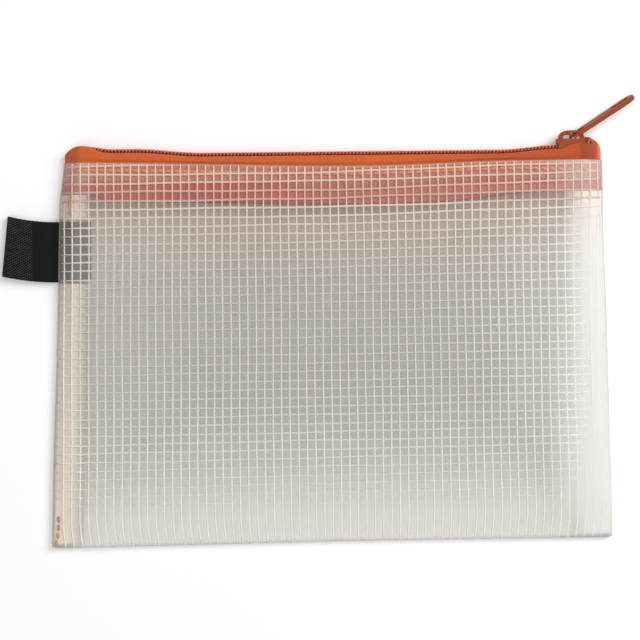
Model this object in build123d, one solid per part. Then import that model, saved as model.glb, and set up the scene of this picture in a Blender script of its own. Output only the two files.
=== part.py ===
from build123d import *
import math
import os

# A mesh document wallet: one film sheet folded at the bottom and sewn into a pouch, with a zip along its mouth
# and a webbing tab in its left seam. Sizes are in millimetres, +Z is up, and the wallet lies on its back film.
# The origin is the centre of the back film's outer face, +Y runs to the mouth, and the slider is parked at +X.

os.makedirs("parts", exist_ok=True)

# Film sheet
top_width = 169.0
bottom_width = 175.5
film_height = 119.5
film_thickness = 0.3
edge_gap = 2.6
mouth_gap = 7.3
bevel_width = 5.6
bevel_steps = 4
ply_clearance = 0.04
hem_depth = 5.8
left_tuck_width = 9.8
right_tuck_width = 12.0
tuck_clearance = 0.3

# Sewing thread
thread_width = 0.35
thread_thickness = 0.22
stitch_length = 2.0
stitch_pitch = 2.6
tape_stitch_inset = 2.7
seam_stitch_inset = 1.0
thread_clearance = 0.04

# Zip tapes
tape_thickness = 0.4
tape_hidden = 12.1
tape_rise = 3.3
tape_fold_offset = 3.45
tape_lip = 1.1
tape_lip_end = 0.15
tape_corner_rise = 1.0
tape_edge_lift = 0.3

# Coil chain
coil_pitch = 1.1
coil_tooth_width = 0.42
coil_thickness = 1.38
coil_half_width = 2.0
coil_spine_width = 1.0
coil_tooth_reach = 0.4
coil_seat_clearance = 0.02
chain_left_inset = 6.5
chain_right_inset = 3.2

# Slider
slider_inset = 9.2
slider_length = 9.8
slider_width = 6.0
slider_plate = 1.5
slider_base_plate = 0.9
slider_clearance = 0.15
slider_corner_radius = 0.5
flange_thickness = 0.5
divider_width = 0.9
divider_clearance = 0.1
bridge_height = 2.7
bridge_width = 1.6
bridge_corner_radius = 0.7

# Puller
puller_length = 22.6
puller_thickness = 1.3
puller_base_width = 4.2
puller_end_width = 5.2
puller_eye_length = 4.0
puller_eye_width = 2.3
puller_bar_diameter = 1.1
puller_slot_length = 6.6
puller_slot_width = 1.9
puller_end_wall = 1.9
puller_edge_radius = 0.35
puller_tilt = 14.0
puller_angle = 33.0

# Webbing tab
tab_width = 19.0
tab_drop = 18.05
tab_reach = 16.6
tab_root_length = 9.6
webbing_thickness = 0.7
leaf_gap = 0.1
tab_fold_radius = 1.5
tab_clearance = 0.1
notch_depth = 1.0

# Shares of the slider's length and half width, and of the bridge's height
plate_outline_shares = [(-0.46, 0.88), (0.20, 0.90), (0.34, 1.00), (0.40, 0.96), (0.50, 0.50)]
flange_end_shares = (-0.40, 0.22)
flange_offset_share = 0.88
divider_outline_shares = [(0.26, 0.0), (0.32, 1.0), (0.42, 1.0), (0.48, 0.0)]
bridge_outer_shares = [
    (-0.40, 0.0), (-0.37, 0.50), (-0.26, 0.86), (-0.10, 1.00), (0.25, 1.00), (0.42, 0.60), (0.46, 0.0),
]
bridge_hole_shares = [
    (-0.28, 0.0), (-0.27, 0.30), (-0.20, 0.46), (-0.08, 0.52),
    (-0.02, 0.72), (0.20, 0.72), (0.29, 0.45), (0.30, 0.0),
]
pivot_length_share = 0.12
pivot_height_share = 0.37
slot_round_share = 0.49
arm_thickness_share = 0.9

# Places worked out from the sizes above
top_half = top_width / 2
bottom_half = bottom_width / 2
film_top_y = film_height / 2
fold_y = -film_height / 2
fold_radius = film_thickness + edge_gap / 2
fold_centre_y = fold_y + fold_radius
seam_z = film_thickness + edge_gap / 2
chain_z = film_thickness + mouth_gap / 2
hem_depth_in = film_thickness + thread_thickness + 2 * thread_clearance
tape_depth_in = hem_depth_in + film_thickness + ply_clearance
tape_top_y = film_top_y + tape_rise
coil_low_y = tape_top_y + coil_seat_clearance
coil_high_y = coil_low_y + coil_thickness
base_plate_top_y = tape_top_y - tape_thickness - slider_clearance
base_plate_low_y = base_plate_top_y - slider_base_plate
flange_low_y = tape_top_y + slider_clearance
plate_low_y = coil_high_y + slider_clearance
plate_top_y = plate_low_y + slider_plate
slider_x = top_half - slider_inset
pivot_x = slider_x + pivot_length_share * slider_length
pivot_y = plate_top_y + pivot_height_share * bridge_height
chain_left_x = chain_left_inset - top_half
chain_right_x = top_half - chain_right_inset
chain_split_x = slider_x + flange_end_shares[1] * slider_length
chain_spread = coil_tooth_reach + divider_width / 2 + divider_clearance
tab_y = film_top_y - tab_drop - tab_width / 2
bevel_share = bevel_width / top_half
bevel_shares = [1 - bevel_share * step / bevel_steps for step in range(bevel_steps + 1)]
station_shares = [-share for share in bevel_shares] + bevel_shares[::-1]
front, back = 1, -1
left, right = -1, 1


def half_width(y):
    """Half the sheet's width at a height y: the sides splay evenly from the mouth to the fold."""
    return bottom_half + (top_half - bottom_half) * (y - fold_y) / film_height


def bevel_ease(across):
    """0 at a side seam, 1 where the bevel beside it ends."""
    return min((1 - abs(across)) / bevel_share, 1)


def crown(across):
    """1 over the middle of the pouch, easing to 0 at the side seams."""
    ease = bevel_ease(across)
    return ease * ease * (3 - 2 * ease)


def corner_round(across):
    """A quarter ellipse: 0 at a side seam, 1 where the bevel ends."""
    return math.sqrt(1 - (1 - bevel_ease(across)) ** 2)


def front_z(across, y):
    """Outer face of the front film, a wedge that is thickest along the middle of the mouth."""
    up = (y - fold_centre_y) / (film_top_y - fold_centre_y)
    return 2 * film_thickness + edge_gap + (mouth_gap - edge_gap) * crown(across) * up


def wall_z(facing, across, y, depth):
    """Height of a face that lies a depth inside the front or the back film's outer face."""
    return front_z(across, y) - depth if facing == front else depth


def across_loft(outline_at):
    """A sheet carried across the pouch: its (y, z) outline at each station, joined by ruled faces."""
    wires = []
    for across in station_shares:
        points = [(across * half_width(y), y, z) for y, z in outline_at(across)]
        wires.append(Wire.make_polygon(points, close=True))
    return Solid.make_loft(wires, ruled=True)


def layer(facing, low_y, high_y, outer_depth, thickness):
    """A ply that follows the front or the back film at a depth inside it."""
    inner_depth = outer_depth + thickness

    def outline(across):
        corners = [(low_y, outer_depth), (high_y, outer_depth), (high_y, inner_depth), (low_y, inner_depth)]
        return [(y, wall_z(facing, across, y, depth)) for y, depth in corners]

    return across_loft(outline)


def slab_y(points, low_y, high_y):
    """An (x, z) outline raised along Y."""
    wire = Wire.make_polygon([(x, low_y, z) for x, z in points], close=True)
    return extrude(Face(wire), amount=high_y - low_y, dir=(0, 1, 0))


def block(low, high):
    """A box between two corners."""
    size = [b - a for a, b in zip(low, high)]
    middle = [(a + b) / 2 for a, b in zip(low, high)]
    return Pos(*middle) * Box(*size)


def front_panel():
    return layer(front, fold_centre_y, film_top_y, 0, film_thickness)


def back_panel():
    low, high = half_width(fold_centre_y), half_width(film_top_y)
    corners = [(-low, fold_centre_y), (low, fold_centre_y), (high, film_top_y), (-high, film_top_y)]
    wire = Wire.make_polygon([(x, y, 0) for x, y in corners], close=True)
    return extrude(Face(wire), amount=film_thickness, dir=(0, 0, 1))


def bottom_fold():
    """The half round where the sheet turns from the back to the front."""
    reach = half_width(fold_centre_y)
    inner_radius = fold_radius - film_thickness

    def half_ring(radius):
        ends = [(-reach, fold_centre_y, seam_z + radius), (-reach, fold_centre_y, seam_z - radius)]
        return Edge.make_three_point_arc(ends[0], (-reach, fold_centre_y - radius, seam_z), ends[1])

    outer, inner = half_ring(fold_radius), half_ring(inner_radius)
    upper = Edge.make_line(inner @ 0, outer @ 0)
    lower = Edge.make_line(outer @ 1, inner @ 1)
    return extrude(Face(Wire([upper, outer, lower, inner])), amount=2 * reach, dir=(1, 0, 0))


def top_hem(facing):
    """The turned-in edge of the film along the mouth."""
    return layer(facing, film_top_y - hem_depth, film_top_y, hem_depth_in, film_thickness)


def seam_tuck(side, width):
    """The turned-in side edges of both films, sewn together: a channel that opens into the pouch."""
    outer_depth = film_thickness + ply_clearance
    inner_depth = outer_depth + film_thickness
    inner_share = 1 - width / top_half
    wall_share = 1 - film_thickness / top_half
    shares = [share for share in bevel_shares if share > inner_share] + [inner_share]
    wires = []
    for y in (fold_centre_y + tuck_clearance, film_top_y - tape_hidden - tuck_clearance):
        reach = half_width(y)
        upper_outer = [(share, front_z(share, y) - outer_depth) for share in shares]
        upper_inner = [(share, front_z(share, y) - inner_depth) for share in [wall_share] + shares[1:]]
        lower_outer = [(inner_share, outer_depth), (1, outer_depth)]
        lower_inner = [(wall_share, inner_depth), (inner_share, inner_depth)]
        outline = lower_outer + upper_outer + upper_inner[::-1] + lower_inner
        wires.append(Wire.make_polygon([(side * share * reach, y, z) for share, z in outline], close=True))
    return Solid.make_loft(wires, ruled=True)


def left_seam_tuck():
    """The left channel, with a notch in its wall where the webbing passes."""
    tuck = seam_tuck(left, left_tuck_width)
    reach = half_width(tab_y)
    half_notch = tab_width / 2 + tab_clearance
    half_stack = webbing_thickness + leaf_gap / 2 + tab_clearance
    low = (-reach - notch_depth, tab_y - half_notch, seam_z - half_stack)
    high = (-reach + notch_depth, tab_y + half_notch, seam_z + half_stack)
    return tuck - block(low, high)


def zip_tape(facing):
    """A tape from under the hem, out over the film's edge and in to the coil, with its ends drawn into the seams."""
    inner_depth = tape_depth_in + tape_thickness
    mouth_y = film_top_y + tape_edge_lift
    low_y = film_top_y - tape_hidden
    inward = -facing * tape_thickness
    fold_z = chain_z + facing * (tape_fold_offset + tape_thickness)
    flare = fold_z - wall_z(facing, 0, film_top_y, tape_depth_in)

    def outline(across):
        lift = tape_corner_rise + (tape_rise - tape_corner_rise) * corner_round(across)
        top_y = film_top_y + lift
        turn_z = wall_z(facing, across, film_top_y, tape_depth_in) + flare * crown(across)
        middle_z = seam_z + (chain_z - seam_z) * crown(across)
        lip_z = middle_z + facing * (tape_lip_end + (tape_lip - tape_lip_end) * crown(across))
        return [
            (top_y, lip_z),
            (top_y, turn_z),
            (mouth_y, wall_z(facing, across, film_top_y, tape_depth_in)),
            (low_y, wall_z(facing, across, low_y, tape_depth_in)),
            (low_y, wall_z(facing, across, low_y, inner_depth)),
            (mouth_y, wall_z(facing, across, film_top_y, inner_depth)),
            (top_y - tape_thickness, turn_z + inward),
            (top_y - tape_thickness, lip_z),
        ]

    return across_loft(outline)


def coil(facing):
    """One half of the chain: a spine with teeth that cross the middle, spread apart past the slider's divider."""
    start_x = chain_left_x + (0 if facing == front else coil_pitch / 2)
    count = int((chain_right_x - start_x) / coil_pitch)
    half_tooth = coil_tooth_width / 2
    spine_inner = coil_half_width - coil_spine_width
    toothed = []
    for index in range(count):
        x = start_x + (index + 1 / 2) * coil_pitch
        shift = chain_spread if x > chain_split_x else 0
        for step_x, reach in ((-half_tooth, spine_inner), (-half_tooth, -coil_tooth_reach),
                              (half_tooth, -coil_tooth_reach), (half_tooth, spine_inner)):
            toothed.append((x + step_x, reach + shift))
    end_x = start_x + count * coil_pitch
    spine = [
        (end_x, spine_inner + chain_spread),
        (end_x, coil_half_width + chain_spread),
        (chain_split_x + coil_pitch, coil_half_width + chain_spread),
        (chain_split_x, coil_half_width),
        (start_x, coil_half_width),
        (start_x, spine_inner),
    ]
    points = [(x, chain_z + facing * reach) for x, reach in toothed + spine]
    return slab_y(points, coil_low_y, coil_high_y)


def tape_stitches(facing):
    """The row that holds hem and tape together, between the film and its hem."""
    y = film_top_y - tape_stitch_inset
    row_half = top_half - bevel_width - stitch_length
    count = int(2 * row_half / stitch_pitch)
    depth = film_thickness + thread_clearance + thread_thickness / 2
    stitch = Box(stitch_length, thread_width, thread_thickness)
    z = wall_z(facing, 0, y, depth)
    return Compound(children=[
        Pos((index - (count - 1) / 2) * stitch_pitch, y, z) * stitch for index in range(count)
    ])


def seam_stitches(side):
    """The row that binds the two turned-in edges of one side, left out where the webbing passes."""
    low_y = fold_centre_y + tuck_clearance + stitch_length
    high_y = film_top_y - tape_hidden - tuck_clearance - stitch_length
    count = int((high_y - low_y) / stitch_pitch) + 1
    height = edge_gap - 2 * (film_thickness + ply_clearance + thread_clearance)
    stitch = Box(thread_width, stitch_length, height)
    clear_of_tab = (tab_width + stitch_length) / 2 + tab_clearance
    stitches = []
    for index in range(count):
        y = low_y + index * stitch_pitch
        if side == right or abs(y - tab_y) > clear_of_tab:
            stitches.append(Pos(side * (half_width(y) - seam_stitch_inset), y, seam_z) * stitch)
    return Compound(children=stitches)


def plate_outline():
    """The slider's outline from above, wide at the mouth end and narrower behind."""
    upper = [(slider_x + x * slider_length, z * slider_width / 2) for x, z in plate_outline_shares]
    return [(x, chain_z + z) for x, z in upper] + [(x, chain_z - z) for x, z in upper[::-1]]


def slider_plate_solid(low_y, high_y):
    plate = slab_y(plate_outline(), low_y, high_y)
    return fillet(plate.edges().filter_by(Axis.Y), slider_corner_radius)


def slider_flange(side):
    """A side wall of the slider, reaching down to the tape."""
    outer = flange_offset_share * slider_width / 2
    start_x, end_x = [slider_x + share * slider_length for share in flange_end_shares]
    z = sorted([chain_z + side * outer, chain_z + side * (outer - flange_thickness)])
    return block((start_x, flange_low_y, z[0]), (end_x, plate_top_y - slider_plate / 2, z[1]))


def slider_divider():
    """The post that parts the coils and holds the two plates together."""
    upper = [(slider_x + x * slider_length, z * divider_width / 2) for x, z in divider_outline_shares]
    points = [(x, chain_z + z) for x, z in upper] + [(x, chain_z - z) for x, z in upper[-2:0:-1]]
    return slab_y(points, base_plate_low_y + slider_base_plate / 2, plate_low_y + slider_plate / 2)


def bridge_face(shares, foot_y):
    """A rounded arch outline that stands on the slider's top plate."""
    points = [(slider_x + x * slider_length, plate_top_y + h * bridge_height) for x, h in shares]
    points[0] = (points[0][0], foot_y)
    points[-1] = (points[-1][0], foot_y)
    face = Face(Wire.make_polygon([(x, y, chain_z - bridge_width / 2) for x, y in points], close=True))
    return face.fillet_2d(bridge_corner_radius, face.vertices().filter_by(lambda v: v.Y > plate_top_y))


def slider_bridge():
    outer = bridge_face(bridge_outer_shares, plate_top_y - slider_plate / 2)
    hole = bridge_face(bridge_hole_shares, plate_top_y)
    return extrude(outer - hole, amount=bridge_width, dir=(0, 0, 1))


def slider_body():
    """Two plates, their side walls, the divider and the bridge, cast in one."""
    body = slider_plate_solid(plate_low_y, plate_top_y)
    body += slider_plate_solid(base_plate_low_y, base_plate_top_y)
    body += slider_divider()
    for side in (left, right):
        body += slider_flange(side)
    return body + slider_bridge()


def puller():
    """A flat paddle with an eye round the bridge, a bar under it, and a long slot near the round end."""
    end_radius = puller_end_width / 2
    base_half = puller_base_width / 2
    end_x = puller_length - end_radius
    outline = Wire([
        Edge.make_line((puller_bar_diameter, -base_half), (end_x, -end_radius)),
        Edge.make_three_point_arc((end_x, -end_radius), (puller_length, 0), (end_x, end_radius)),
        Edge.make_line((end_x, end_radius), (puller_bar_diameter, base_half)),
        Edge.make_line((puller_bar_diameter, base_half), (puller_bar_diameter, -base_half)),
    ])
    plate = extrude(Face(outline), amount=puller_thickness / 2, both=True)
    plate = fillet(plate.edges().filter_by(GeomType.CIRCLE), puller_edge_radius)
    slot_x = puller_length - puller_end_wall - puller_slot_length / 2
    slot = Box(puller_slot_length, puller_slot_width, 2 * puller_thickness)
    slot = fillet(slot.edges().filter_by(Axis.Z), slot_round_share * puller_slot_width)
    arm_half = arm_thickness_share * puller_bar_diameter / 2
    arms = block((0, -base_half, -arm_half), (puller_eye_length, base_half, arm_half))
    eye_half = puller_eye_width / 2
    eye = block((0, -eye_half, -puller_thickness), (puller_eye_length, eye_half, puller_thickness))
    bar = Rot(90, 0, 0) * Cylinder(puller_bar_diameter / 2, puller_base_width)
    flat = plate + arms - eye - Pos(slot_x, 0, 0) * slot + bar
    upright = Rot(90 + puller_tilt, 0, 0) * flat
    return Pos(pivot_x, pivot_y, chain_z) * Rot(0, 0, puller_angle) * upright


def tab_root():
    """The two leaves of the webbing that are caught in the seam."""
    outer_x = -tab_edges[0]
    leaf = Box(tab_root_length, tab_width, webbing_thickness)
    offset = (webbing_thickness + leaf_gap) / 2
    x = outer_x + tab_root_length / 2
    return Compound(children=[Pos(x, tab_y, seam_z + side * offset) * leaf for side in (front, back)])


def tab_loop():
    """The webbing outside the seam, folded back on itself in a soft loop, on a round bead at the seam."""
    fold_x = -half_width(tab_y) - tab_reach + tab_fold_radius
    side_y = tab_y - tab_width / 2

    def corner(x, rise):
        return (x, side_y, seam_z + rise)

    outer = Wire([
        Edge.make_line(corner(tab_bead_x, tab_bead_radius), corner(fold_x, tab_fold_radius)),
        Edge.make_three_point_arc(
            corner(fold_x, tab_fold_radius),
            corner(fold_x - tab_fold_radius, 0),
            corner(fold_x, -tab_fold_radius),
        ),
        Edge.make_line(corner(fold_x, -tab_fold_radius), corner(tab_bead_x, -tab_bead_radius)),
        Edge.make_three_point_arc(
            corner(tab_bead_x, -tab_bead_radius),
            corner(tab_bead_x + tab_bead_radius, 0),
            corner(tab_bead_x, tab_bead_radius),
        ),
    ])
    inner_radius = tab_fold_radius - webbing_thickness
    inner_start_x = tab_bead_x - tab_bead_radius
    inner = Wire([
        Edge.make_line(corner(inner_start_x, leaf_gap / 2), corner(fold_x, inner_radius)),
        Edge.make_three_point_arc(
            corner(fold_x, inner_radius),
            corner(fold_x - inner_radius, 0),
            corner(fold_x, -inner_radius),
        ),
        Edge.make_line(corner(fold_x, -inner_radius), corner(inner_start_x, -leaf_gap / 2)),
        Edge.make_line(corner(inner_start_x, -leaf_gap / 2), corner(inner_start_x, leaf_gap / 2)),
    ])
    return extrude(Face(outer, [inner]), amount=tab_width, dir=(0, 1, 0))


tab_edges = sorted(half_width(tab_y + side * tab_width / 2) for side in (left, right))
tab_bead_radius = webbing_thickness + leaf_gap / 2
tab_bead_x = -tab_edges[1] - tab_clearance - tab_bead_radius

pieces = {
    "front_panel": front_panel(),
    "back_panel": back_panel(),
    "bottom_fold": bottom_fold(),
    "front_top_hem": top_hem(front),
    "back_top_hem": top_hem(back),
    "left_seam_tuck": left_seam_tuck(),
    "right_seam_tuck": seam_tuck(right, right_tuck_width),
    "front_zip_tape": zip_tape(front),
    "back_zip_tape": zip_tape(back),
    "front_coil": coil(front),
    "back_coil": coil(back),
    "front_tape_stitches": tape_stitches(front),
    "back_tape_stitches": tape_stitches(back),
    "left_seam_stitches": seam_stitches(left),
    "right_seam_stitches": seam_stitches(right),
    "tab_root": tab_root(),
    "tab_loop": tab_loop(),
    "slider_body": slider_body(),
    "puller": puller(),
}

for name, shape in pieces.items():
    export_step(shape, f"parts/{name}.step")

print("puller pivot", pivot_x, pivot_y, chain_z)
print("tab pivot", tab_bead_x, tab_y, seam_z)
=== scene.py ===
"""A flat zip wallet of clear scrim film: the film, its laid threads, the zip tapes and coils, the sewing and the
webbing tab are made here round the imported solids; the slider and its puller keep their solids and get their paint, and
a bead lines the slider's bridge."""
import math

import bpy
import numpy as np
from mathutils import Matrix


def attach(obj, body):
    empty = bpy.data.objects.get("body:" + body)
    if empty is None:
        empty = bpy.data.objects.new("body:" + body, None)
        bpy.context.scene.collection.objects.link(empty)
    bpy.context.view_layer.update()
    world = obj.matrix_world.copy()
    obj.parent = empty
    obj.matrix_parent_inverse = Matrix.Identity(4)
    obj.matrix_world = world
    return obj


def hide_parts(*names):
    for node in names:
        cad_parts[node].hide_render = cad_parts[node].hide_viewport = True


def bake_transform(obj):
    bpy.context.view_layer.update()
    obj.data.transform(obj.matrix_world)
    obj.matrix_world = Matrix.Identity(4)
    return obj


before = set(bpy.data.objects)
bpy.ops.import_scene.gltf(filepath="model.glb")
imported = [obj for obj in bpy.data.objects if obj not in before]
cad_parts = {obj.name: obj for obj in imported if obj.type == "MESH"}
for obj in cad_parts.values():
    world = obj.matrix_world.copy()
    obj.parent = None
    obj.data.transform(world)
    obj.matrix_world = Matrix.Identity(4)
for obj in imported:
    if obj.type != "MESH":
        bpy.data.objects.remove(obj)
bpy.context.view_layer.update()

# Lengths in millimetres, as in the part's source.
MM = 0.001
top_half, bottom_half = 84.5, 87.75
film_height, film_thickness = 119.5, 0.3
film_top_y, fold_y = 59.75, -59.75
edge_gap, mouth_gap = 2.6, 7.3
fold_radius = 1.6
fold_centre_y = fold_y + fold_radius
seam_z, chain_z = 1.6, 3.95
mid_radius = fold_radius - film_thickness / 2
bevel_width = 5.6
hem_depth, hem_turn = 5.8, 0.3
tape_thickness, tape_hidden, tape_top_y = 0.4, 12.1, 63.05
tape_depth_in = 0.94
coil_pitch, coil_half_width, coil_reach = 1.1, 2.0, 0.4
coil_low_y, coil_high_y = 63.07, 64.45
slider_end_x = 79.7
chain_left_x, chain_right_x, chain_split_x, chain_spread = -78.6, 82.7, 77.46, 0.95
tab_y, tab_half, tab_fold_radius, webbing_thickness = 32.2, 9.5, 1.5, 0.7
tab_fold_x, tab_root_x = -101.6, -75.9
stitch_pitch = 2.6
warp_depth, weft_depth = 0.06, 0.09
front, back = 1, -1


# Shapes shared by the pieces.
def ease(t):
    """3t^2 - 2t^3 between 0 and 1."""
    t = np.clip(t, 0, 1)
    return t * t * (3 - 2 * t)


def half_width(y):
    """The sides splay evenly from the mouth to the fold."""
    return bottom_half + (top_half - bottom_half) * (y - fold_y) / film_height


def edge_y(x):
    """Height of the film's mouth edge: lowest right of the middle, higher at both ends."""
    lowest_x, lowest_y, left_rise, right_rise = 10, 58.4, 1.85, 1.2
    return lowest_y + left_rise * ease((lowest_x - x) / 94) + right_rise * ease((x - lowest_x) / 50)


def zip_lift(x):
    """How far the zip line leaves its straight run: it sags along the middle and rises by eased steps at both ends."""
    sag_end, sag_run = np.where(x < 0, 62.2, 72.5), np.where(x < 0, 22, 20)
    sag = 1.4 * ease((sag_end - np.abs(x)) / sag_run)
    left_rise, right_rise = 1.05 * ease((-68.6 - x) / 9.5), 1.7 * ease((x - slider_end_x) / 1.8)
    return left_rise + right_rise - sag


def end_round(x):
    """The quarter round of a tape's two ends, from 0 at the side to 1 inside."""
    left_radius, right_radius = 5.6, 2.6
    return quarter_round(half_width(film_top_y) - np.abs(x) - 0.2, np.where(x < 0, left_radius, right_radius))


def tape_top(x):
    """Height of a tape's top: along the zip line, then a quarter round down to the mouth edge at both ends."""
    low = edge_y(x) + 1.0
    return low + (tape_top_y + zip_lift(x) - low) * end_round(x)


def fold_crest(x):
    """How far the front tape's fold stands over its lip: it hides the coil's left end and laps the parked slider."""
    left = 2.4 * ease((-71 - x) / 7)
    right = 3.0 * ease((x - 70.5) / 6.5) - 2.7 * ease((x - slider_end_x) / 1.8)
    return (left + right) * end_round(x)


def back_crest(x):
    """How far the back tape's fold stands over its lip: a flap past the parked slider that falls away to the end."""
    low, high = 2.2, 6.4
    height = low + (high - low) * ease((82.4 - x) / 3.2)
    return ease((x - 78.6) / 1.0) * height * end_round(x)


def from_side(x, y):
    """Distance of the film's middle from the side seam."""
    return half_width(y) - film_thickness / 2 - np.abs(x)


def quarter_round(distance, radius):
    """A quarter circle: 0 at the seam, 1 a radius away from it."""
    t = np.clip(distance / radius, 0, 1)
    return np.sqrt(np.clip(1 - (1 - t) ** 2, 0, 1))


def crown(x, y):
    """1 over the middle of the pouch, easing to 0 at the side seams over a bevel's width."""
    return ease((1 - np.abs(x) / half_width(y)) * top_half / bevel_width)


def ripple(x, y):
    """Slow hand-sized waves of the film, a sum of three sines."""
    return (0.16 * np.sin(x / 11.0 + y / 23.0 + 0.4) + 0.12 * np.sin(x / 27.0 - y / 12.0 + 1.9)
            + 0.08 * np.sin(x / 6.3 + y / 9.0))


def tab_parting(x, y):
    """1 where the webbing parts the left seam, easing to 0 above and below it."""
    margin, run = 1.3, 1.2
    return ease((tab_half + margin - np.abs(y - tab_y)) / run) * (x < 0)


def seam_gap(x, y):
    """Half the gap between the plies: a half round along the seam, held open by the webbing."""
    parted_gap = 0.95
    gap = mid_radius * quarter_round(from_side(x, y), mid_radius)
    return np.maximum(gap, parted_gap * tab_parting(x, y))


def rise(x, y):
    """How far the front ply stands over the seam's height, more towards the mouth."""
    up = (y - fold_centre_y) / (film_top_y - fold_centre_y)
    return ((mouth_gap - edge_gap) * up + ripple(x, y) * ease(up * 6)) * crown(x, y)


def ply_z(facing, x, y, depth):
    """Height of a layer a depth inside the middle of the front or back film; the depth closes up at the seam."""
    inside = depth * quarter_round(from_side(x, y), mid_radius)
    if facing == front:
        return seam_z + seam_gap(x, y) + rise(x, y) - inside
    return seam_z - seam_gap(x, y) + inside


def lean(x, y):
    """How far the sheet lies to the right of, and under, its plain outline: eased shifts of up to 1.5 mm that bow its
    sides and tip its fold, each in proportion to the distance from the middle."""
    full_x = 86
    left, right = np.clip(-x / full_x, 0, 1), np.clip(x / full_x, 0, 1)
    out_left = 0.95 * ease((58 - y) / 12) + 0.58 * ease((8 - y) / 50) - 0.25 * ease((y - 54) / 6)
    out_right = 0.5 * ease((y + 45) / 60) + 0.4 * ease((y - 36) / 20) - 0.25 * ease((-40 - y) / 20)
    fold_tip = (1.45 * left - 0.4 * right) * ease((-10 - y) / 48)
    return out_right * right - out_left * left, fold_tip


def settle(points, sideways=1.0, drop=1.0):
    """Points of the plain outline, moved to where the sheet lies."""
    x, y, z = np.moveaxis(np.asarray(points, float), -1, 0)
    across, down = lean(x, y)
    return np.stack([x + sideways * across, y - drop * down, z], axis=-1)


# Meshes.
def grid_faces(rows, columns, wrap=False):
    """Quads of a grid of points, row by row; wrap joins the last column to the first."""
    row, column = np.meshgrid(np.arange(rows - 1), np.arange(columns if wrap else columns - 1), indexing="ij")
    after = (column + 1) % columns
    corners = [row * columns + column, row * columns + after,
               (row + 1) * columns + after, (row + 1) * columns + column]
    return np.stack([c.ravel() for c in corners], axis=1)


def add_piece(name, points, faces, material, slot_name, uv=None):
    """Puts points in millimetres and faces into a new object at the origin, smooth, with a material and a UV per point
    if there is one. The slot name is not used."""
    mesh = bpy.data.meshes.new(name)
    mesh.from_pydata((np.asarray(points).reshape(-1, 3) * MM).tolist(), [], [list(f) for f in faces])
    mesh.update()
    mesh.polygons.foreach_set("use_smooth", np.ones(len(mesh.polygons), bool))
    if uv is not None:
        corner = np.zeros(len(mesh.loops), np.int32)
        mesh.loops.foreach_get("vertex_index", corner)
        layer = mesh.uv_layers.new(name="cloth")
        layer.data.foreach_set("uv", np.asarray(uv, np.float32).reshape(-1, 2)[corner].ravel())
    piece = bpy.data.objects.new(name, mesh)
    bpy.context.scene.collection.objects.link(piece)
    mesh.materials.append(material)
    return piece


def thicken(piece, thickness):
    """Gives a sheet its two faces and closed rims."""
    wall = piece.modifiers.new("thickness", "SOLIDIFY")
    wall.thickness = thickness * MM
    wall.offset = 0
    wall.use_even_offset = True
    return piece


def tubes(paths, wide, high, across, normal, sides=6):
    """Flattened tubes with closed ends: at each point of a path, wide*cos on the across axis plus high*sin on the
    normal. paths, across and normal are (tube, step, 3) arrays."""
    count, steps = paths.shape[:2]
    turn = np.arange(sides) * 2 * np.pi / sides
    ring = wide * np.cos(turn)[:, None] * across[:, :, None] + high * np.sin(turn)[:, None] * normal[:, :, None]
    points = paths[:, :, None] + ring
    one = grid_faces(steps, sides, wrap=True)
    starts = np.arange(count)[:, None, None] * steps * sides
    faces = (one[None] + starts).reshape(-1, 4).tolist()
    cap = np.arange(sides)
    faces += (cap[::-1][None] + starts[:, 0]).tolist()
    faces += (cap[None] + (steps - 1) * sides + starts[:, 0]).tolist()
    return points.reshape(-1, 3), faces


def unit(v):
    """A vector over its length."""
    return v / np.maximum(np.linalg.norm(v, axis=-1, keepdims=True), 1e-9)


def frames_along(paths, up):
    """For each point of each path, an across axis and a normal square to its run, from a rough up direction."""
    run = unit(np.gradient(paths, axis=1))
    across = unit(np.cross(run, np.broadcast_to(up, run.shape)))
    return across, unit(np.cross(across, run))


# Finishes.
class Socket:
    """A shader value: sums, differences and products with it add Math nodes."""

    def __init__(self, nodes, link):
        self.nodes, self.link = nodes, link

    def __add__(self, other):
        return self.nodes.maths("ADD", self, other)

    def __sub__(self, other):
        return self.nodes.maths("SUBTRACT", self, other)

    def __mul__(self, other):
        return self.nodes.maths("MULTIPLY", self, other)

    def __rsub__(self, other):
        return self.nodes.maths("SUBTRACT", other, self)

    __radd__, __rmul__ = __add__, __mul__


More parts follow.
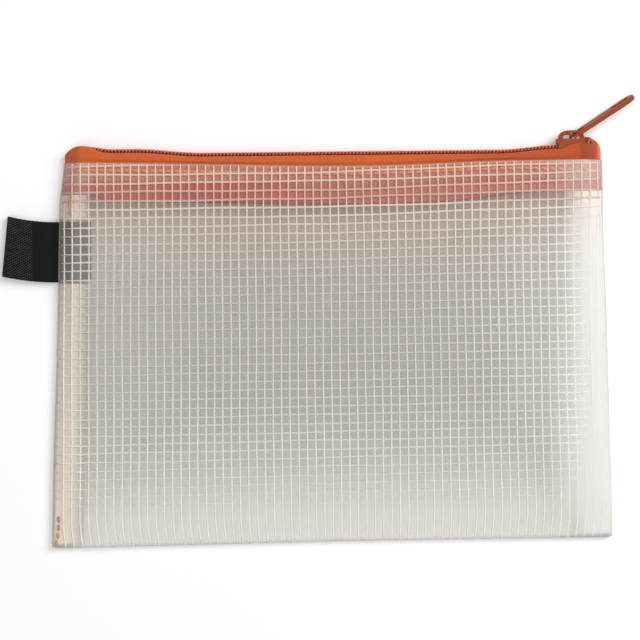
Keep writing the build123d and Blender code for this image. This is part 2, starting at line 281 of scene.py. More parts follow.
class Nodes:
    """The nodes of a material or the world, each made by one method."""

    def __init__(self, tree):
        self.tree = tree
        tree.nodes.clear()

    def node(self, kind, out=0, settings=None, **sockets):
        """Adds a node of a kind with its settings, then the values or links of its sockets; a socket's name has
        underscores for spaces, and i7 means the input that is numbered 7 from 0. Gives the socket named by out."""
        made = self.tree.nodes.new("ShaderNode" + kind)
        for key, value in (settings or {}).items():
            setattr(made, key, value)
        for key, value in sockets.items():
            place = int(key[1:]) if key[0] == "i" and key[1:].isdigit() else key.replace("_", " ")
            if isinstance(value, Socket):
                self.tree.links.new(value.link, made.inputs[place])
            else:
                made.inputs[place].default_value = value
        return Socket(self, made.outputs[out]) if len(made.outputs) else None

    def maths(self, operation, *values):
        """One sum, product or function of its values."""
        return self.node("Math", settings={"operation": operation}, **{f"i{k}": v for k, v in enumerate(values)})

    def step(self, value, low, high):
        """A smooth step of a value from low to high."""
        return self.node("MapRange", settings={"interpolation_type": "SMOOTHSTEP"},
                         Value=value, From_Min=low, From_Max=high)

    def mix(self, factor, one, two):
        """One colour to another by a factor."""
        one, two = [c if isinstance(c, Socket) else (*c, 1) for c in (one, two)]
        return self.node("Mix", out=2, settings={"data_type": "RGBA"}, i0=factor, i6=one, i7=two)

    def noise(self, place, scale, detail=3.0, rough=0.55):
        """Soft noise of a scale to the metre."""
        return self.node("TexNoise", Vector=place, Scale=scale, Detail=detail, Roughness=rough)

    def object_place(self):
        """A point's place in metres."""
        return self.node("TexCoord", out="Object")

    def cloth_place(self):
        """A point's place on the flat cloth."""
        return self.node("TexCoord", out="UV")

    def parts(self, place):
        """The x, y and z of a vector."""
        split = self.node("SeparateXYZ", Vector=place)
        return [Socket(self, out) for out in split.link.node.outputs]

    def bump(self, height, strength, distance):
        """A surface tilted by a height's slope."""
        return self.node("Bump", Height=height, Strength=strength, Distance=distance)

    def looked_at(self):
        """1 for a ray that looks, straight, in a gloss or through something clear, and 0 for one that gathers light."""
        straight = self.node("LightPath", out="Is Camera Ray")
        rays = straight.link.node.outputs
        gloss, through = Socket(self, rays["Is Glossy Ray"]), Socket(self, rays["Is Transmission Ray"])
        return self.maths("MAXIMUM", self.maths("MAXIMUM", straight, gloss), through)


class Finish(Nodes):
    """A material of one surface shader."""

    def __init__(self, name):
        self.material = bpy.data.materials.new(name)
        self.material.use_nodes = True
        super().__init__(self.material.node_tree)

    def surface(self, **sockets):
        """The finish's shader and its output."""
        shader = self.node("BsdfPrincipled", **sockets)
        self.node("OutputMaterial", Surface=shader)
        return self.material


def film_finish():
    """Clear film: a faint haze on the front, twice as much at the hem, cloudier on the back, with fine slanting hatch
    marks and slow clouds. Painted warm light from the tape lies towards the mouth and on the hem, with a painted
    highlight along the turned mouth edge; painted light makes it whiter to the fold and the right, a milky painted
    glare covers the right, and it is paler to the left."""
    f = Finish("scrim_film")
    place = f.object_place()
    x, y, z = f.parts(place)
    from_hem = f.parts(f.cloth_place())[1]
    clouds = f.noise(place, 38.0)
    hatch = f.maths("SINE", (x + y) * 7400.0 + f.noise(place, 300.0) * 5.0)

    behind = f.step(z, 0.0022, 0.0012)
    # painted light and glare: the film whiter towards the fold and the right side, and paler to the left
    pale = f.maths("MAXIMUM", f.step(y, -0.006, -0.060) * 0.9, f.step(x, 0.044, 0.080) * 0.9)
    pale = f.maths("MAXIMUM", pale, f.step(x, -0.030, -0.085) * 0.55)
    # painted warm light bounced from the orange tape, towards the mouth
    warm = f.step(y, 0.012, 0.046)
    by_mouth = f.step(y, 0.030, 0.047)
    # lighter at both ends of the mouth, with a painted glare on the right
    ends = f.maths("MAXIMUM", f.step(x, 0.066, 0.080), f.step(x, -0.074, -0.082) * 0.8) * f.step(y, 0.040, 0.048)
    on_tab = f.step(x, -0.0748, -0.0757) * f.step(y, 0.0222, 0.0232) * f.step(y, 0.0424, 0.0414)
    hem = f.step(from_hem, 0.0064, 0.0058)
    # a painted highlight along the turned mouth edge
    rim_highlight = f.step(from_hem, 0.0052, 0.0057) * f.step(from_hem, 0.0071, 0.0066)
    # a painted glare on the right: the film turned milky white
    glare_veil = f.step(x, 0.0650, 0.0810) * f.step(y, 0.0475, 0.0400) * (1.0 - f.step(y, -0.044, -0.058) * 0.4)

    alpha = 0.05 + clouds * 0.03 + hatch * 0.012 + pale * 0.03
    alpha = alpha + ends * 0.10 + on_tab * 0.06 + hem * 0.07 + rim_highlight * 0.10
    alpha = alpha + glare_veil * (0.34 + f.step(y, 0.030, -0.035) * 0.12)
    alpha = alpha + behind * (0.50 + pale * 0.10)

    # painted light: a warm bounce from the tape and a whiter lit tone, beside the film's plain and cloudy colours
    plain, tape_bounce_warm, painted_light_white = (0.70, 0.69, 0.615), (0.745, 0.63, 0.54), (0.95, 0.94, 0.905)
    cloudy, glare_white = (0.80, 0.77, 0.71), (0.99, 0.98, 0.95)
    # painted light: the tape's warm bounce on the film and on its hem, and a lighter tone at the mouth's ends
    painted_tape_bounce, painted_hem_bounce, end_glare_haze = (0.78, 0.59, 0.49), (0.98, 0.55, 0.38), (0.97, 0.86, 0.78)
    colour = f.mix(warm, plain, tape_bounce_warm)
    colour = f.mix(pale, colour, painted_light_white)
    colour = f.mix(by_mouth * 0.7, colour, painted_tape_bounce)
    colour = f.mix(clouds * 0.3, colour, cloudy)
    colour = f.mix(hem * 0.85, colour, painted_hem_bounce)
    colour = f.mix(ends * 0.7, colour, end_glare_haze)
    colour = f.mix(glare_veil * 0.7, colour, glare_white)
    grain = f.noise(place, 2600.0, 2.0)
    return f.surface(Base_Color=colour, Alpha=alpha, Roughness=0.26 + clouds * 0.16, Specular_IOR_Level=0.35,
                     Normal=f.bump(grain + hatch * 0.2, 0.12, 0.0002))


def tuck_finish():
    """Film turned double at the sides, milky: warm on the left, white with a painted glare on the right. Painted shade
    of the pouch's inside greys its colour to the inner edge. The lower leaf is opaque, and the upper one clears to its
    inner edge."""
    f = Finish("doubled_film")
    place = f.object_place()
    x, z = f.parts(place)[::2]
    from_side_share = f.parts(f.cloth_place())[0]
    clouds = f.noise(place, 60.0)
    right_side = f.step(x, -0.02, 0.02)
    lower = f.step(z, 0.0019, 0.0012)
    # the right leaf is white with a painted glare, the left one warm
    left_milk, right_glare_milk, cloudy = (0.90, 0.805, 0.675), (0.94, 0.92, 0.88), (0.92, 0.86, 0.78)
    # painted shade of the pouch's inside, greying the leaves to their inner edge
    left_painted_shade, right_painted_shade = (0.74, 0.69, 0.60), (0.82, 0.79, 0.715)
    milky = f.mix(clouds * 0.25, f.mix(right_side, left_milk, right_glare_milk), cloudy)
    colour = f.mix(f.step(from_side_share, 1.0, 0.5), f.mix(right_side, left_painted_shade, right_painted_shade), milky)
    haze = (0.60 + right_side * 0.25 + clouds * 0.15) * f.step(from_side_share, 1.22, 0.45)
    return f.surface(Base_Color=colour, Alpha=f.maths("MAXIMUM", lower, haze), Roughness=0.34 + clouds * 0.12,
                     Specular_IOR_Level=0.35, Normal=f.bump(clouds, 0.1, 0.0003))


def scrim_finish(name, colour, worn, whiter, over_low, over_hem):
    """Pale spun threads with a fine twist and uneven brightness: painted warm light from the tape lies on them towards
    the mouth, they take the tape's colour over the tape, painted light and glare make them whiter to the fold and to
    the right, and they are whiter on the left strip."""
    f = Finish(name)
    place = f.object_place()
    x, y = f.parts(place)[:2]
    patches = f.noise(place, 160.0)
    twist = f.maths("SINE", (x * 0.6 + y) * 9000.0)
    # painted light and glare whiten the threads towards the fold and the right
    painted_light_white, painted_glare_white, left_cream = (0.95, 0.94, 0.90), (0.99, 0.985, 0.96), (0.97, 0.90, 0.80)
    painted_tape_bounce = (0.86, 0.71, 0.61)
    # where the painted light and glare fall: towards the fold and the right
    pale = f.maths("MAXIMUM", f.step(y, 0.010, -0.050), f.step(x, 0.020, 0.080))
    shade = f.mix(patches, worn, colour)
    shade = f.mix(pale * whiter, shade, painted_light_white)
    # a painted glare whitens the threads on the far right
    shade = f.mix(f.step(x, 0.067, 0.077) * 0.9, shade, painted_glare_white)
    shade = f.mix(f.step(x, -0.0775, -0.0830) * 0.8, shade, left_cream)
    # painted warm light bounced from the tape, on the threads towards the mouth
    shade = f.mix(f.step(y, 0.020, 0.047) * 0.5, shade, painted_tape_bounce)
    over_tape = f.mix(f.step(y, 0.050, 0.055), over_low, over_hem)
    shade = f.mix(f.step(y, 0.0455, 0.0485) * 0.92, shade, over_tape)
    return f.surface(Base_Color=f.mix(twist * 0.08 + 0.08, shade, worn), Roughness=0.62 + patches * 0.15,
                     Specular_IOR_Level=0.3, Normal=f.bump(twist, 0.25, 0.0001))


def tape_finish():
    """Zip tape: twill weave, orange where it shows, with painted shade towards and beside the parked slider and a
    painted highlight at the right end; a darker crimson of painted shade where the film covers it, paler to the lower
    right."""
    f = Finish("zip_tape_cloth")
    u, v = f.parts(f.cloth_place())[:2]
    place = f.object_place()
    x, y = f.parts(place)[:2]
    patches = f.noise(place, 120.0)
    twill = f.maths("SINE", (u + v * 0.8) * 9800.0)
    rib = f.maths("SINE", v * 15000.0)
    covered = f.step(v, -0.0003, 0.0009)
    # painted shade on the tape's fold beside the parked slider
    fold_shade = f.step(x, 0.0772, 0.0790) * f.step(x, 0.0836, 0.0824)
    # paler towards the lower right under the film
    paler_lower_right = f.step(y, 0.0545, 0.0510) * f.step(x, -0.040, 0.020)
    # painted shade by the parked slider and a painted highlight at the right end
    shade_orange, fold_shade_orange, end_highlight_orange = (0.38, 0.050, 0.007), (0.34, 0.040, 0.006), (0.95, 0.36, 0.12)
    paler_red, between_threads = (0.72, 0.34, 0.27), (0.20, 0.018, 0.006)
    shown = f.mix(patches, (0.55, 0.088, 0.010), (0.66, 0.135, 0.018))
    # painted shade darkens the tape towards the parked slider
    shown = f.mix(f.step(x, 0.02, 0.075) * 0.6, shown, shade_orange)
    shown = f.mix(fold_shade * 0.85, shown, fold_shade_orange)
    # a painted highlight at the tape's right end
    shown = f.mix(f.step(x, 0.0834, 0.0847) * 0.6, shown, end_highlight_orange)
    # painted shade: the tape darker and redder where the film covers it
    shaded_hidden = f.mix(patches, (0.44, 0.022, 0.018), (0.58, 0.042, 0.030))
    shaded_hidden = f.mix(paler_lower_right * 0.3, shaded_hidden, paler_red)
    colour = f.mix(twill * 0.10 + 0.10, f.mix(covered, shown, shaded_hidden), between_threads)
    weave = twill * 0.6 + rib * 0.4
    return f.surface(Base_Color=colour, Roughness=0.66 + patches * 0.14, Sheen_Weight=0.05,
                     Normal=f.bump(weave, 0.35, 0.00012))


def coil_finish():
    """Dyed nylon coil: dark brick red, paler in fine patches."""
    f = Finish("coil_nylon")
    patches = f.noise(f.object_place(), 900.0)
    colour = f.mix(patches, (0.50, 0.072, 0.030), (0.74, 0.165, 0.075))
    return f.surface(Base_Color=colour, Roughness=0.36 + patches * 0.15, Normal=f.bump(patches, 0.1, 0.0001))


def sewing_finish(name, dull, bright):
    """Orange sewing thread, patchy from dull to bright, with a sine of a twist."""
    f = Finish(name)
    place = f.object_place()
    x, y, z = f.parts(place)
    twist = f.maths("SINE", (x + y * 0.7 + z) * 12000.0)
    patches = f.noise(place, 400.0)
    between_strands = (0.35, 0.05, 0.01)
    colour = f.mix(twist * 0.15 + 0.15, f.mix(patches, dull, bright), between_strands)
    return f.surface(Base_Color=colour, Roughness=0.6 + patches * 0.15, Normal=f.bump(twist, 0.3, 0.0001))


def webbing_finish():
    """Black webbing: a plain weave with grey flecks on the outer half of the loop, smoother near the seam."""
    f = Finish("black_webbing")
    cloth = f.cloth_place()
    u, v = f.parts(cloth)[:2]
    place = f.object_place()
    outer = f.step(f.parts(place)[0], -0.0940, -0.0948)
    over = f.maths("SINE", u * 7800.0)
    under = f.maths("SINE", v * 5200.0)
    weave = over * under
    uneven = f.noise(cloth, 700.0, 2.0, 0.7)
    flecks = f.step(weave + uneven * 1.4, 0.95, 1.5) * outer
    patches = f.noise(place, 240.0)
    cloth_black = f.mix(patches, (0.003, 0.004, 0.004), (0.008, 0.010, 0.0095))
    fleck_grey = (0.085, 0.088, 0.086)
    colour = f.mix(flecks * 0.8, cloth_black, fleck_grey)
    ribs = weave * (0.2 + outer * 0.8)
    return f.surface(Base_Color=colour, Roughness=0.78 + patches * 0.15, Specular_IOR_Level=0.12,
                     Normal=f.bump(ribs, 0.5, 0.00025))


def paint_finish():
    """Copper-orange paint on cast metal: mottled in patches and finely grained, with a thin gloss."""
    f = Finish("slider_paint_coat")
    place = f.object_place()
    patches = f.noise(place, 420.0)
    fine = f.noise(place, 3000.0, 2.0)
    colour = f.mix(patches, (0.20, 0.034, 0.011), (0.37, 0.076, 0.027))
    colour = f.mix(fine * 0.25, colour, (0.42, 0.10, 0.04))
    return f.surface(Base_Color=colour, Roughness=0.36 + patches * 0.16, Specular_IOR_Level=0.12,
                     Normal=f.bump(fine, 0.08, 0.0001))


film = film_finish()
tuck = tuck_finish()
warp_thread = scrim_finish("scrim_warp_thread", colour=(0.78, 0.76, 0.68), worn=(0.66, 0.64, 0.56), whiter=0.7,
                           over_low=(0.74, 0.50, 0.38), over_hem=(0.98, 0.66, 0.48))
weft_thread = scrim_finish("scrim_weft_thread", colour=(0.59, 0.57, 0.505), worn=(0.50, 0.48, 0.425), whiter=0.5,
                           over_low=(0.60, 0.35, 0.28), over_hem=(0.84, 0.48, 0.36))
tape_cloth = tape_finish()
coil_nylon = coil_finish()
sewing = sewing_finish("sewing_thread", dull=(0.74, 0.16, 0.05), bright=(0.90, 0.28, 0.11))
faded_sewing = sewing_finish("faded_thread", dull=(0.64, 0.22, 0.12), bright=(0.80, 0.36, 0.23))
black_webbing = webbing_finish()
paint = paint_finish()


# The film: one sheet from the front hem over the mouth edge, down the front, round the fold and up the back.
def fold_turn(x, angle, depth):
    """Points round the bottom fold, a depth inside the film's middle: a half oval as high as the gap, which drops by a
    share of the fold's radius and of the gap."""
    gap = seam_gap(x, fold_centre_y) - depth
    drop = 0.45 * mid_radius + 0.55 * gap
    return np.stack([x, fold_centre_y - drop * np.sin(angle), seam_z + gap * np.cos(angle)], axis=-1)


def film_path(x_share):
    """Rows of the sheet, top to top, as (x, y, z) grids: hem, turned edge, front, half-round fold, back, edge, hem."""
    rows = []
    hem_rows, front_rows, back_rows = 7, 92, 60
    mouth_x = x_share * (half_width(film_top_y) - film_thickness / 2)
    mouth = edge_y(mouth_x) - hem_turn - film_thickness / 2
    hem_low = mouth - hem_depth + hem_turn
    wall_low = fold_centre_y + 0 * mouth

    def add_rows(facing, y, depth):
        """Rows at heights y, a depth inside a ply, each as wide as the splayed sides."""
        x = x_share * (half_width(y) - film_thickness / 2)
        rows.append(np.stack([x, y, ply_z(facing, x, y, depth)], axis=-1))

    def flat_rows(facing, start, end, depth, count):
        """Evenly spaced rows from one height to another."""
        add_rows(facing, start + (end - start) * np.linspace(0, 1, count)[:, None], depth)

    def turn_rows(facing, outward):
        """A half circle over the mouth edge, out of the hem or back into it."""
        angle = np.linspace(0, np.pi, 8)[1:-1, None]
        depth = hem_turn * (1 + (np.cos(angle) if outward else -np.cos(angle)))
        add_rows(facing, mouth + hem_turn * np.sin(angle), depth)

    flat_rows(front, hem_low, mouth, 2 * hem_turn, hem_rows)
    turn_rows(front, True)
    flat_rows(front, mouth, wall_low, 0, front_rows)
    angle = np.linspace(0, np.pi, 16)[1:-1, None]
    fold_x = x_share * (half_width(fold_centre_y) - film_thickness / 2) + 0 * angle
    rows.append(fold_turn(fold_x, angle, 0))
    flat_rows(back, wall_low, mouth, 0, back_rows)
    turn_rows(back, False)
    flat_rows(back, mouth, hem_low, 2 * hem_turn, hem_rows)
    return np.concatenate(rows)


film_columns = np.sin(np.linspace(-1, 1, 161) * np.pi / 2)[None, :]
sheet_points = film_path(film_columns)
sheet_run = np.linalg.norm(np.diff(sheet_points, axis=0, prepend=sheet_points[:1]), axis=-1).cumsum(axis=0)
sheet_uv = np.stack([sheet_points[..., 0], sheet_run], axis=-1) * MM
sheet_faces = grid_faces(*sheet_points.shape[:2])
film_sheet = add_piece("film_sheet", settle(sheet_points), sheet_faces, film, "film", sheet_uv)
thicken(film_sheet, film_thickness)


# The side tucks: the film's edges turned in along the seams, a channel that opens into the pouch.
def side_tuck(name, side, width):
    """Across a tuck: the upper leaf out to a round nose and back as a narrower lower leaf, from the fold to under the
    tape. On the left the webbing's place is left out."""
    clearance, nose_end, narrower, under_tape = 0.36, 2.2, 4.5, 2.4
    nose = mid_radius - clearance
    around = nose * (1 - np.sin(np.linspace(0, 1, 9) * np.pi / 2))
    out = np.concatenate([np.linspace(width, nose_end, 7), around])
    lower_share = (width - narrower - nose_end) / (width - nose_end)
    lower = np.where(out > nose_end, nose_end + (out - nose_end) * lower_share, out)
    inset = np.concatenate([out, lower[-2::-1]])[None, :]
    upper = (np.arange(inset.size) < out.size)[None, :]
    y = np.linspace(fold_centre_y - 0.4, film_top_y - tape_hidden + under_tape, 122)[:, None]
    x = side * (half_width(y) - film_thickness / 2 - clearance - inset)
    gap = nose * quarter_round(inset, nose)
    z = seam_z + np.where(upper, gap + rise(x, y), -gap)
    points = np.stack([x, y + 0 * x, z], axis=-1)
    uv = np.stack([inset / width + 0 * x, y * MM + 0 * x], axis=-1)
    faces = grid_faces(*points.shape[:2])
    middle = points.reshape(-1, 3)[faces].mean(axis=1)
    beside_tab = np.abs(middle[:, 1] - tab_y) < tab_half + 0.5
    notch = beside_tab & (middle[:, 2] > seam_z - 1.0) & (side < 0)
    piece = thicken(add_piece(name, settle(points), faces[~notch], tuck, "film", uv), film_thickness)
    piece.modifiers["thickness"].use_even_offset = False
    return piece


left_tuck = side_tuck("left_tuck", side=-1, width=9.4)
right_tuck = side_tuck("right_tuck", side=1, width=11.6)


# The scrim: laid threads in the film, up and down all round the fold, and across on each side.
def scrim_up():
    """Threads a pitch apart in the film's middle: each runs down the front, round the fold and up the back, splays a
    little with the sides and is drawn towards the pouch's middle near the fold."""
    first_x, pitch, count = -85.17, 2.647, 65
    x0 = (first_x + pitch * np.arange(count))[:, None]

    def place(y):
        """Each thread's x at heights y: its own x splayed, less the draw to the middle, plus the fan and a wave."""
        splay = 0.4 + 0.6 * half_width(y) / half_width(-27.7)
        drawn = 0.95 * np.tanh((x0 - 5) / 40) * np.clip((-49 - y) / 9.5, 0, 1) ** 2
        fanned = 0.9 * ease((y - 15) / 43) * np.clip((x0 - 40) / 40, 0, 1)
        wavy = 0.08 * np.sin(y / 9 + 2.3 * x0)
        return x0 * splay - drawn + fanned + wavy

    start = np.where(x0 < -84, 50.0, edge_y(x0) - 0.35)
    y = start + (fold_centre_y - start) * np.linspace(0, 1, 56)
    x = place(y)
    flat_x = x - lean(x, y)[0]
    front_run = np.stack([x, y, ply_z(front, flat_x, y, warp_depth)], axis=-1)
    back_run = np.stack([x, y, ply_z(back, flat_x, y, warp_depth)], axis=-1)[:, ::-1]
    angle = np.linspace(0, np.pi, 11)[None, 1:-1]
    turn = fold_turn(place(fold_centre_y + 0 * x0) + 0 * angle, angle, warp_depth)
    paths = settle(np.concatenate([front_run, turn, back_run], axis=1), sideways=0.0)
    sideways = np.broadcast_to(np.array([1.0, 0, 0]), paths.shape)
    outward = unit(np.cross(sideways, unit(np.gradient(paths, axis=1))))
    half_wide, half_high = 0.255, 0.18
    return tubes(paths, half_wide, half_high, sideways, -outward)


def scrim_across():
    """Rows a pitch apart on each side, a little wavy, in the film under the upright threads. They tip up to the right,
    more so near the mouth, and thin out towards the fold and the sides; the first lies only where the mouth edge is
    high."""
    first_y, pitch, short_end_x = 56.3, 2.7155, -38.0
    row = np.arange(-1, 39)[:, None]
    y0 = first_y - pitch * row
    reach = half_width(y0) - 1.0
    x = -reach + (np.where(row < 0, short_end_x, reach) + reach) * np.linspace(0, 1, 90)[None, :]
    tilt = 0.008 + 0.005 * ease((5 - y0) / 50) + ease((y0 - 5) / 55) * np.where(x > 0, 0.0215, -0.006)
    y = y0 + tilt * x + 0.10 * np.sin(x / 7 + 1.7 * row) + 0.12 * np.sin(x / 21 + 2.3 * row)
    paths = np.concatenate([np.stack([x, y, ply_z(facing, x, y, weft_depth)], axis=-1) for facing in (front, back)])
    paths = settle(paths, drop=0.0)
    to_fold = 0.72 * ease((row - 31) / 8)
    to_sides = 0.6 * ease((9 - reach + np.abs(x)) / 8) * ease((47 - y0) / 4)
    to_short_end = np.where(row < 0, ease((short_end_x - x) / 26), 1)
    thinned = (1 - to_fold) * (1 - to_sides) * to_short_end
    thinned = np.tile(thinned, (2, 1))[:, :, None]
    upright = np.broadcast_to(np.array([0, 1.0, 0]), paths.shape)
    outward = unit(np.cross(unit(np.gradient(paths, axis=1)), upright))
    half_wide, half_high = 0.37, 0.12
    return tubes(paths, half_wide, half_high, upright * thinned, outward)


scrim_warp = add_piece("scrim_warp", *scrim_up(), warp_thread, "film")
scrim_weft = add_piece("scrim_weft", *scrim_across(), weft_thread, "film")


# The zip tapes.
def zip_tape(name, facing):
    """A tape from its lip under the coil, out over a round fold, down past the mouth edge and on under the hem. Each
    column is a straight, a quadratic curve about the fold's corner, a slightly bowed wall and the covered run, which is
    cut shorter by an eased step to both ends."""
    side_gap = 0.5
    tape_half = half_width(film_top_y) - side_gap
    share = np.sin(np.linspace(-1, 1, 241) * np.pi / 2)[None, :]
    x_mouth = share * tape_half
    side = half_width(film_top_y) - np.abs(x_mouth)
    edge = edge_y(x_mouth)
    top = tape_top(x_mouth) - tape_thickness / 2
    crest = fold_crest(x_mouth) if facing == front else back_crest(x_mouth)
    over = crown(x_mouth, film_top_y)
    depth = tape_depth_in + (tape_thickness - film_thickness) / 2
    wall = ply_z(facing, x_mouth, edge, depth)
    turn = wall + facing * 0.84 * over
    lip = seam_z + (chain_z - seam_z) * over + facing * (0.15 + 0.95 * over)
    cut_left, cut_right = 2.7 * (1 - ease((side - 6) / 10)), 3.0 * (1 - ease((side - 6) / 46))
    low = edge - tape_hidden + np.where(x_mouth < 0, cut_left, cut_right)
    mouth = edge + 0.3
    pucker = 0.06 * np.sin(x_mouth * 2.4) * over

    def spread(y):
        """The columns' x at heights y, in proportion to the splayed sides."""
        return x_mouth * (half_width(y) - side_gap) / tape_half

    def row(y, z):
        """One row of points at heights y and z."""
        return np.stack([spread(y), y + 0 * x_mouth, z], axis=-1)

    def shares(count):
        """Even shares from 0 up to, but without, 1."""
        return np.linspace(0, 1, count)[:-1, None, None]

    lip_start, lip_turn, corner, wall_top = row(top, lip), row(top, turn), row(top + crest, turn), row(mouth, wall)
    enter = lip_turn * 0.55 + lip_start * 0.45 + (corner - lip_turn) * 0.15
    leave = corner + (wall_top - corner) * 0.45
    flat = lip_start + (enter - lip_start) * shares(5)
    t = shares(9)
    fold = (1 - t) ** 2 * enter + 2 * t * (1 - t) * corner + t ** 2 * leave
    t = shares(8)
    bow = facing * np.array([0, 0, 1.0]) * (0.22 * np.sin(np.pi * t) * over[..., None] + pucker[..., None])
    outer = leave + (wall_top - leave) * t + bow * (t > 0)
    y = mouth + (low - mouth) * np.linspace(0, 1, 15)[:, None]
    covered = np.stack([spread(y), y, ply_z(facing, spread(y), np.minimum(y, edge), depth)], axis=-1)
    points = np.concatenate([flat, fold, outer, covered])
    along = np.linalg.norm(np.diff(points, axis=0), axis=-1).cumsum(axis=0)
    along = np.concatenate([0 * along[:1], along])
    at_mouth = len(flat) + len(fold) + len(outer)
    uv = np.stack([points[..., 0], along - along[at_mouth]], axis=-1) * MM
    faces = grid_faces(*points.shape[:2])
    return thicken(add_piece(name, settle(points), faces, tape_cloth, "zip_tape", uv), tape_thickness)


front_tape = zip_tape("front_tape", front)
back_tape = zip_tape("back_tape", back)


# The coils.
def zip_coil(name, facing):
    """A flattened helix on its tape: cos and sin round a long oval while x advances one pitch a turn, spread from the
    other half past the slider's divider."""
    radius = 0.30
    start = chain_left_x + (0 if facing == front else coil_pitch / 2)
    turns = int((chain_right_x - start) / coil_pitch)
    t = np.linspace(0, turns * 2 * np.pi, turns * 14 + 1)
    x = start + coil_pitch * t / (2 * np.pi)
    split_lead, split_run = 0.6, 1.6
    parted = chain_spread * ease((x - chain_split_x + split_lead) / split_run)
    half_long = (coil_half_width + coil_reach) / 2 - radius
    half_tall = (coil_high_y - coil_low_y) / 2 - radius
    y = (coil_low_y + coil_high_y) / 2 + tape_top(x) - tape_top_y
    z = chain_z + facing * ((coil_half_width - coil_reach) / 2 + parted)
    around = np.stack([0 * t, half_tall * np.sin(t), facing * half_long * np.cos(t)], axis=-1)
    path = (np.stack([x, y, z], axis=-1) + around)[None]
    across, normal = frames_along(path, unit(around)[None])
    return add_piece(name, *tubes(path, radius, radius, across, normal), coil_nylon, "coil")


front_chain = zip_coil("front_chain", front)
back_chain = zip_coil("back_chain", back)


# The sewing.
def stitch_row(name, centres, run, length, wide, high, thread):
    """Short stitches with their ends sunk: each is a tube through points at shares of its length along run, dipping by
    a cosine and tapering by a circle."""
    dip = 0.10
    share = np.linspace(-0.5, 0.5, 7)
    paths = centres[:, None] + run[:, None] * (share * length)[None, :, None]
    paths[:, :, 2] -= dip * (1 - np.cos(np.pi * share))[None, :]
    across, normal = frames_along(paths, np.array([0, 0, 1.0]))
    taper = np.sqrt(1 - (1.8 * share) ** 2)[None, :, None]
    return add_piece(name, *tubes(paths, wide, high, across * taper, normal * taper), thread, "thread")


def tape_stitches(name, facing):
    """The row along the mouth, between the film and its hem: a pitch apart, an even drop under the mouth edge."""
    count, under_edge = 64, 2.5
    x = stitch_pitch * (np.arange(count) - (count - 1) / 2)
    y = edge_y(x) - under_edge - 0.7 * ease((x - 58) / 24)
    centres = settle(np.stack([x, y, ply_z(facing, x, y, hem_turn)], axis=-1))
    run = unit(np.gradient(centres, axis=0))
    return stitch_row(name, centres, run, length=2.62, wide=0.60, high=0.13, thread=sewing)


def seam_thread(name, side, runs):
    """The lockstitch of a side seam: a thread that weaves between the turned-in edges, a sine along the seam."""
    inset, weave, radius, steps_per_mm = 2.2, 0.5, 0.22, 4
    first_low, first_high = runs[0]
    steps = int((first_high - first_low) * steps_per_mm)
    y = np.stack([np.linspace(low, high, steps) for low, high in runs])
    x = side * (half_width(y) - inset)
    z = seam_z + weave * np.sin(2 * np.pi * y / stitch_pitch)
    paths = settle(np.stack([x, y, z], axis=-1))
    across, normal = frames_along(paths, np.array([1.0, 0, 0]))
    return add_piece(name, *tubes(paths, radius, radius, across, normal), sewing, "thread")


front_row = tape_stitches("front_mouth_stitches", front)
back_row = tape_stitches("back_mouth_stitches", back)
seam_low_y, seam_high_y = -55.5, 46.4
left_seam = seam_thread("left_seam_thread", -1, [(seam_low_y, 21.6), (42.9, seam_high_y)])
right_seam = seam_thread("right_seam_thread", 1, [(seam_low_y, seam_high_y)])

# Tacks on the film at the left seam's two ends, four by the fold and three under the tape.
tack_y = np.array([-50.6, -53.1, -55.6, -58.0, 49.0, 46.8, 44.6])
tack_x = np.array([-85.35, -85.4, -85.65, -86.2, -81.4, -81.3, -81.2])
on_film = -0.17
tack_places = settle(np.stack([tack_x, tack_y, ply_z(front, tack_x, tack_y, on_film)], axis=-1))
tack_run = np.broadcast_to(np.array([0, 1.0, 0]), tack_places.shape)
seam_tacks = stitch_row("seam_tacks", tack_places, tack_run, length=2.0, wide=0.46, high=0.14, thread=faded_sewing)


# The webbing tab: one strap folded on itself, its two ends in the seam.
def webbing_strap():
    """Along the strap: the upper leaf out from the seam, a half round at the loop's end and the lower leaf back. Across
    it is flat. Past the seam it bends upwards in its own plane by a square of the distance."""
    in_seam, parting_x, bend_x, bend_run, bend_rise, bend_turn = 0.4, -87.4, -86.5, 15.5, 1.75, 0.10
    end_radius = tab_fold_radius - webbing_thickness / 2
    x = tab_root_x + (tab_fold_x - tab_root_x) * np.linspace(0, 1, 46)
    lift = in_seam + (end_radius - in_seam) * ease((parting_x - x) / (parting_x - tab_fold_x))
    angle = np.linspace(0, np.pi, 13)[1:-1]
    x = np.concatenate([x, tab_fold_x - end_radius * np.sin(angle), x[::-1]])[:, None]
    z = seam_z + np.concatenate([lift, end_radius * np.cos(angle), -lift[::-1]])[:, None]
    across = np.linspace(-tab_half, tab_half, 25)[None, :]
    past = np.clip((bend_x - x) / bend_run, 0, 1.1)
    selvedge = 1 + 0.004 * np.sin(x * 4.5) * (np.abs(across) > tab_half - 0.5)
    y = tab_y + across * selvedge + bend_rise * past ** 2
    turned = x + across * bend_turn * past
    points = np.stack([turned, y, z + 0 * y], axis=-1)
    middle = points[:, points.shape[1] // 2]
    along = np.concatenate([[0], np.linalg.norm(np.diff(middle, axis=0), axis=-1).cumsum()])
    uv = np.stack([across + 0 * y, along[:, None] + 0 * y], axis=-1) * MM
    piece = add_piece("webbing_tab", points, grid_faces(*points.shape[:2]), black_webbing, "webbing", uv)
    return thicken(piece, webbing_thickness)


webbing_tab = webbing_strap()


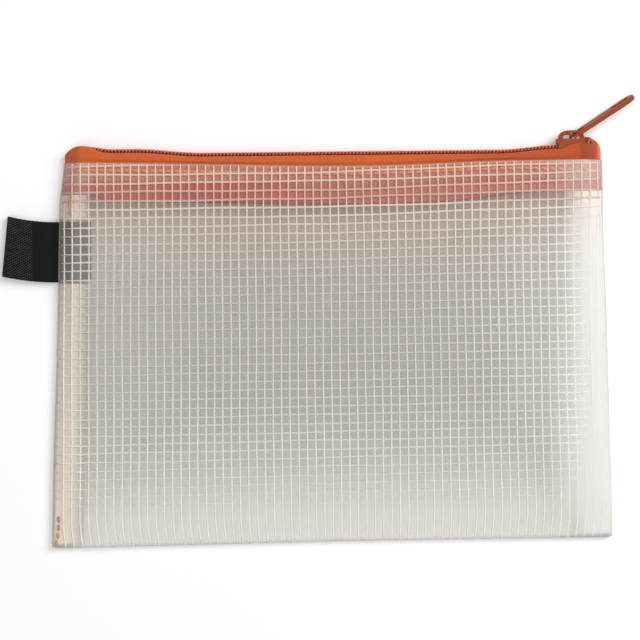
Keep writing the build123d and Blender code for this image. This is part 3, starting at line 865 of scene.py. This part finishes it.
# The slider and its puller keep their solids: a bead in the bridge, and paint.
def bridge_lining():
    """A cast bead inside the slider's bridge, up its left leg, along under its top and down beside the puller's bar: a
    flattened tube along an arch, powers of a cosine and a sine, rounder on the left."""
    middle_x, foot_y, half_span, arch_height, half_wide, half_high = 74.05, 66.05, 1.34, 1.68, 0.42, 0.74
    turn = np.linspace(np.pi, 0, 25)
    square = np.where(turn > np.pi / 2, 0.6, 0.3)
    x = middle_x + half_span * np.sign(np.cos(turn)) * np.abs(np.cos(turn)) ** square
    y = foot_y + arch_height * np.abs(np.sin(turn)) ** square
    paths = np.stack([x, y, chain_z + 0 * x], axis=-1)[None]
    across, normal = frames_along(paths, np.array([0, 0, 1.0]))
    bead = tubes(paths, half_wide, half_high, across, normal, sides=12)
    return add_piece("bridge_lining", *bead, paint, "slider_paint")


lining = bridge_lining()
for name in ("slider_body", "puller"):
    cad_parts[name].data.materials.clear()
    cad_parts[name].data.materials.append(paint)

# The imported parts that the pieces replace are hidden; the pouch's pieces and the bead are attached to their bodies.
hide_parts("front_panel", "back_panel", "bottom_fold", "front_top_hem", "back_top_hem")
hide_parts("left_seam_tuck")
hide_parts("right_seam_tuck")
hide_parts("front_zip_tape")
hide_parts("back_zip_tape")
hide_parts("front_coil")
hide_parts("back_coil")
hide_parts("front_tape_stitches")
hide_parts("back_tape_stitches")
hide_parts("left_seam_stitches")
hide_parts("right_seam_stitches")
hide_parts("tab_root", "tab_loop")
for piece in (film_sheet, left_tuck, right_tuck, scrim_warp, scrim_weft, front_tape, back_tape, front_chain, back_chain,
              front_row, back_row, left_seam, right_seam, seam_tacks):
    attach(piece, "pouch")
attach(lining, "slider")
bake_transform(webbing_tab)


# The stage: a pale floor, white to the eye, soft lamps and the camera straight above.
def floor_finish():
    """Pale floor with faint unevenness; what looks at it, and not what it lights, sees it lifted to white."""
    f = Finish("studio_floor")
    clouds = f.noise(f.object_place(), 6.0)
    colour = f.mix(clouds, (0.86, 0.86, 0.87), (0.88, 0.88, 0.885))
    lift = f.mix(f.looked_at(), (0, 0, 0), (0.15, 0.15, 0.15))
    return f.surface(Base_Color=colour, Roughness=0.85, Emission_Color=lift, Emission_Strength=1.0,
                     Specular_IOR_Level=0.1)


floor_half, floor_points, floor_drop = 1800, 9, 0.15
span = np.linspace(-floor_half, floor_half, floor_points)
floor_x, floor_y = np.meshgrid(span, span)
floor_grid = np.stack([floor_x, floor_y, 0 * floor_x - floor_drop], axis=-1)
floor = add_piece("floor", floor_grid, grid_faces(floor_points, floor_points), floor_finish(), None)


def soft_lamp(name, place, size, watts):
    """A square lamp aimed at the pouch's middle."""
    data = bpy.data.lights.new(name, "AREA")
    data.shape, data.size, data.energy = "SQUARE", size, watts
    lamp = bpy.data.objects.new(name, data)
    bpy.context.scene.collection.objects.link(lamp)
    lamp.location = place
    away = np.array(place) / np.linalg.norm(place)
    lamp.rotation_euler = (math.acos(away[2]), 0, math.atan2(away[1], away[0]) + math.pi / 2)


soft_lamp("key_lamp", place=(0.62, 0.42, 0.80), size=0.55, watts=7.2)
soft_lamp("top_lamp", place=(-0.15, -0.10, 1.30), size=1.10, watts=6.2)

world = bpy.data.worlds.new("studio")
world.use_nodes = True
bpy.context.scene.world = world
sky = Nodes(world.node_tree)
sky_light, sky_seen = 0.31, 1.0
sky_level = sky.node("MapRange", Value=sky.looked_at(), To_Min=sky_light, To_Max=sky_seen)
sky.node("OutputWorld", Surface=sky.node("Background", Color=(1, 1, 1, 1), Strength=sky_level))

lens, sensor, view_width = 200.0, 36.0, 201.3
view_x, view_y, view_roll = -4.0, 10.0, -0.6
camera_data = bpy.data.cameras.new("overhead_camera")
camera_data.lens, camera_data.sensor_width = lens, sensor
camera = bpy.data.objects.new("overhead_camera", camera_data)
bpy.context.scene.collection.objects.link(camera)
camera.location = (view_x * MM, view_y * MM, (view_width * lens / sensor + chain_z) * MM)
camera.rotation_euler = (0, 0, math.radians(view_roll))
bpy.context.scene.camera = camera
bpy.context.scene.view_settings.view_transform = "Standard"
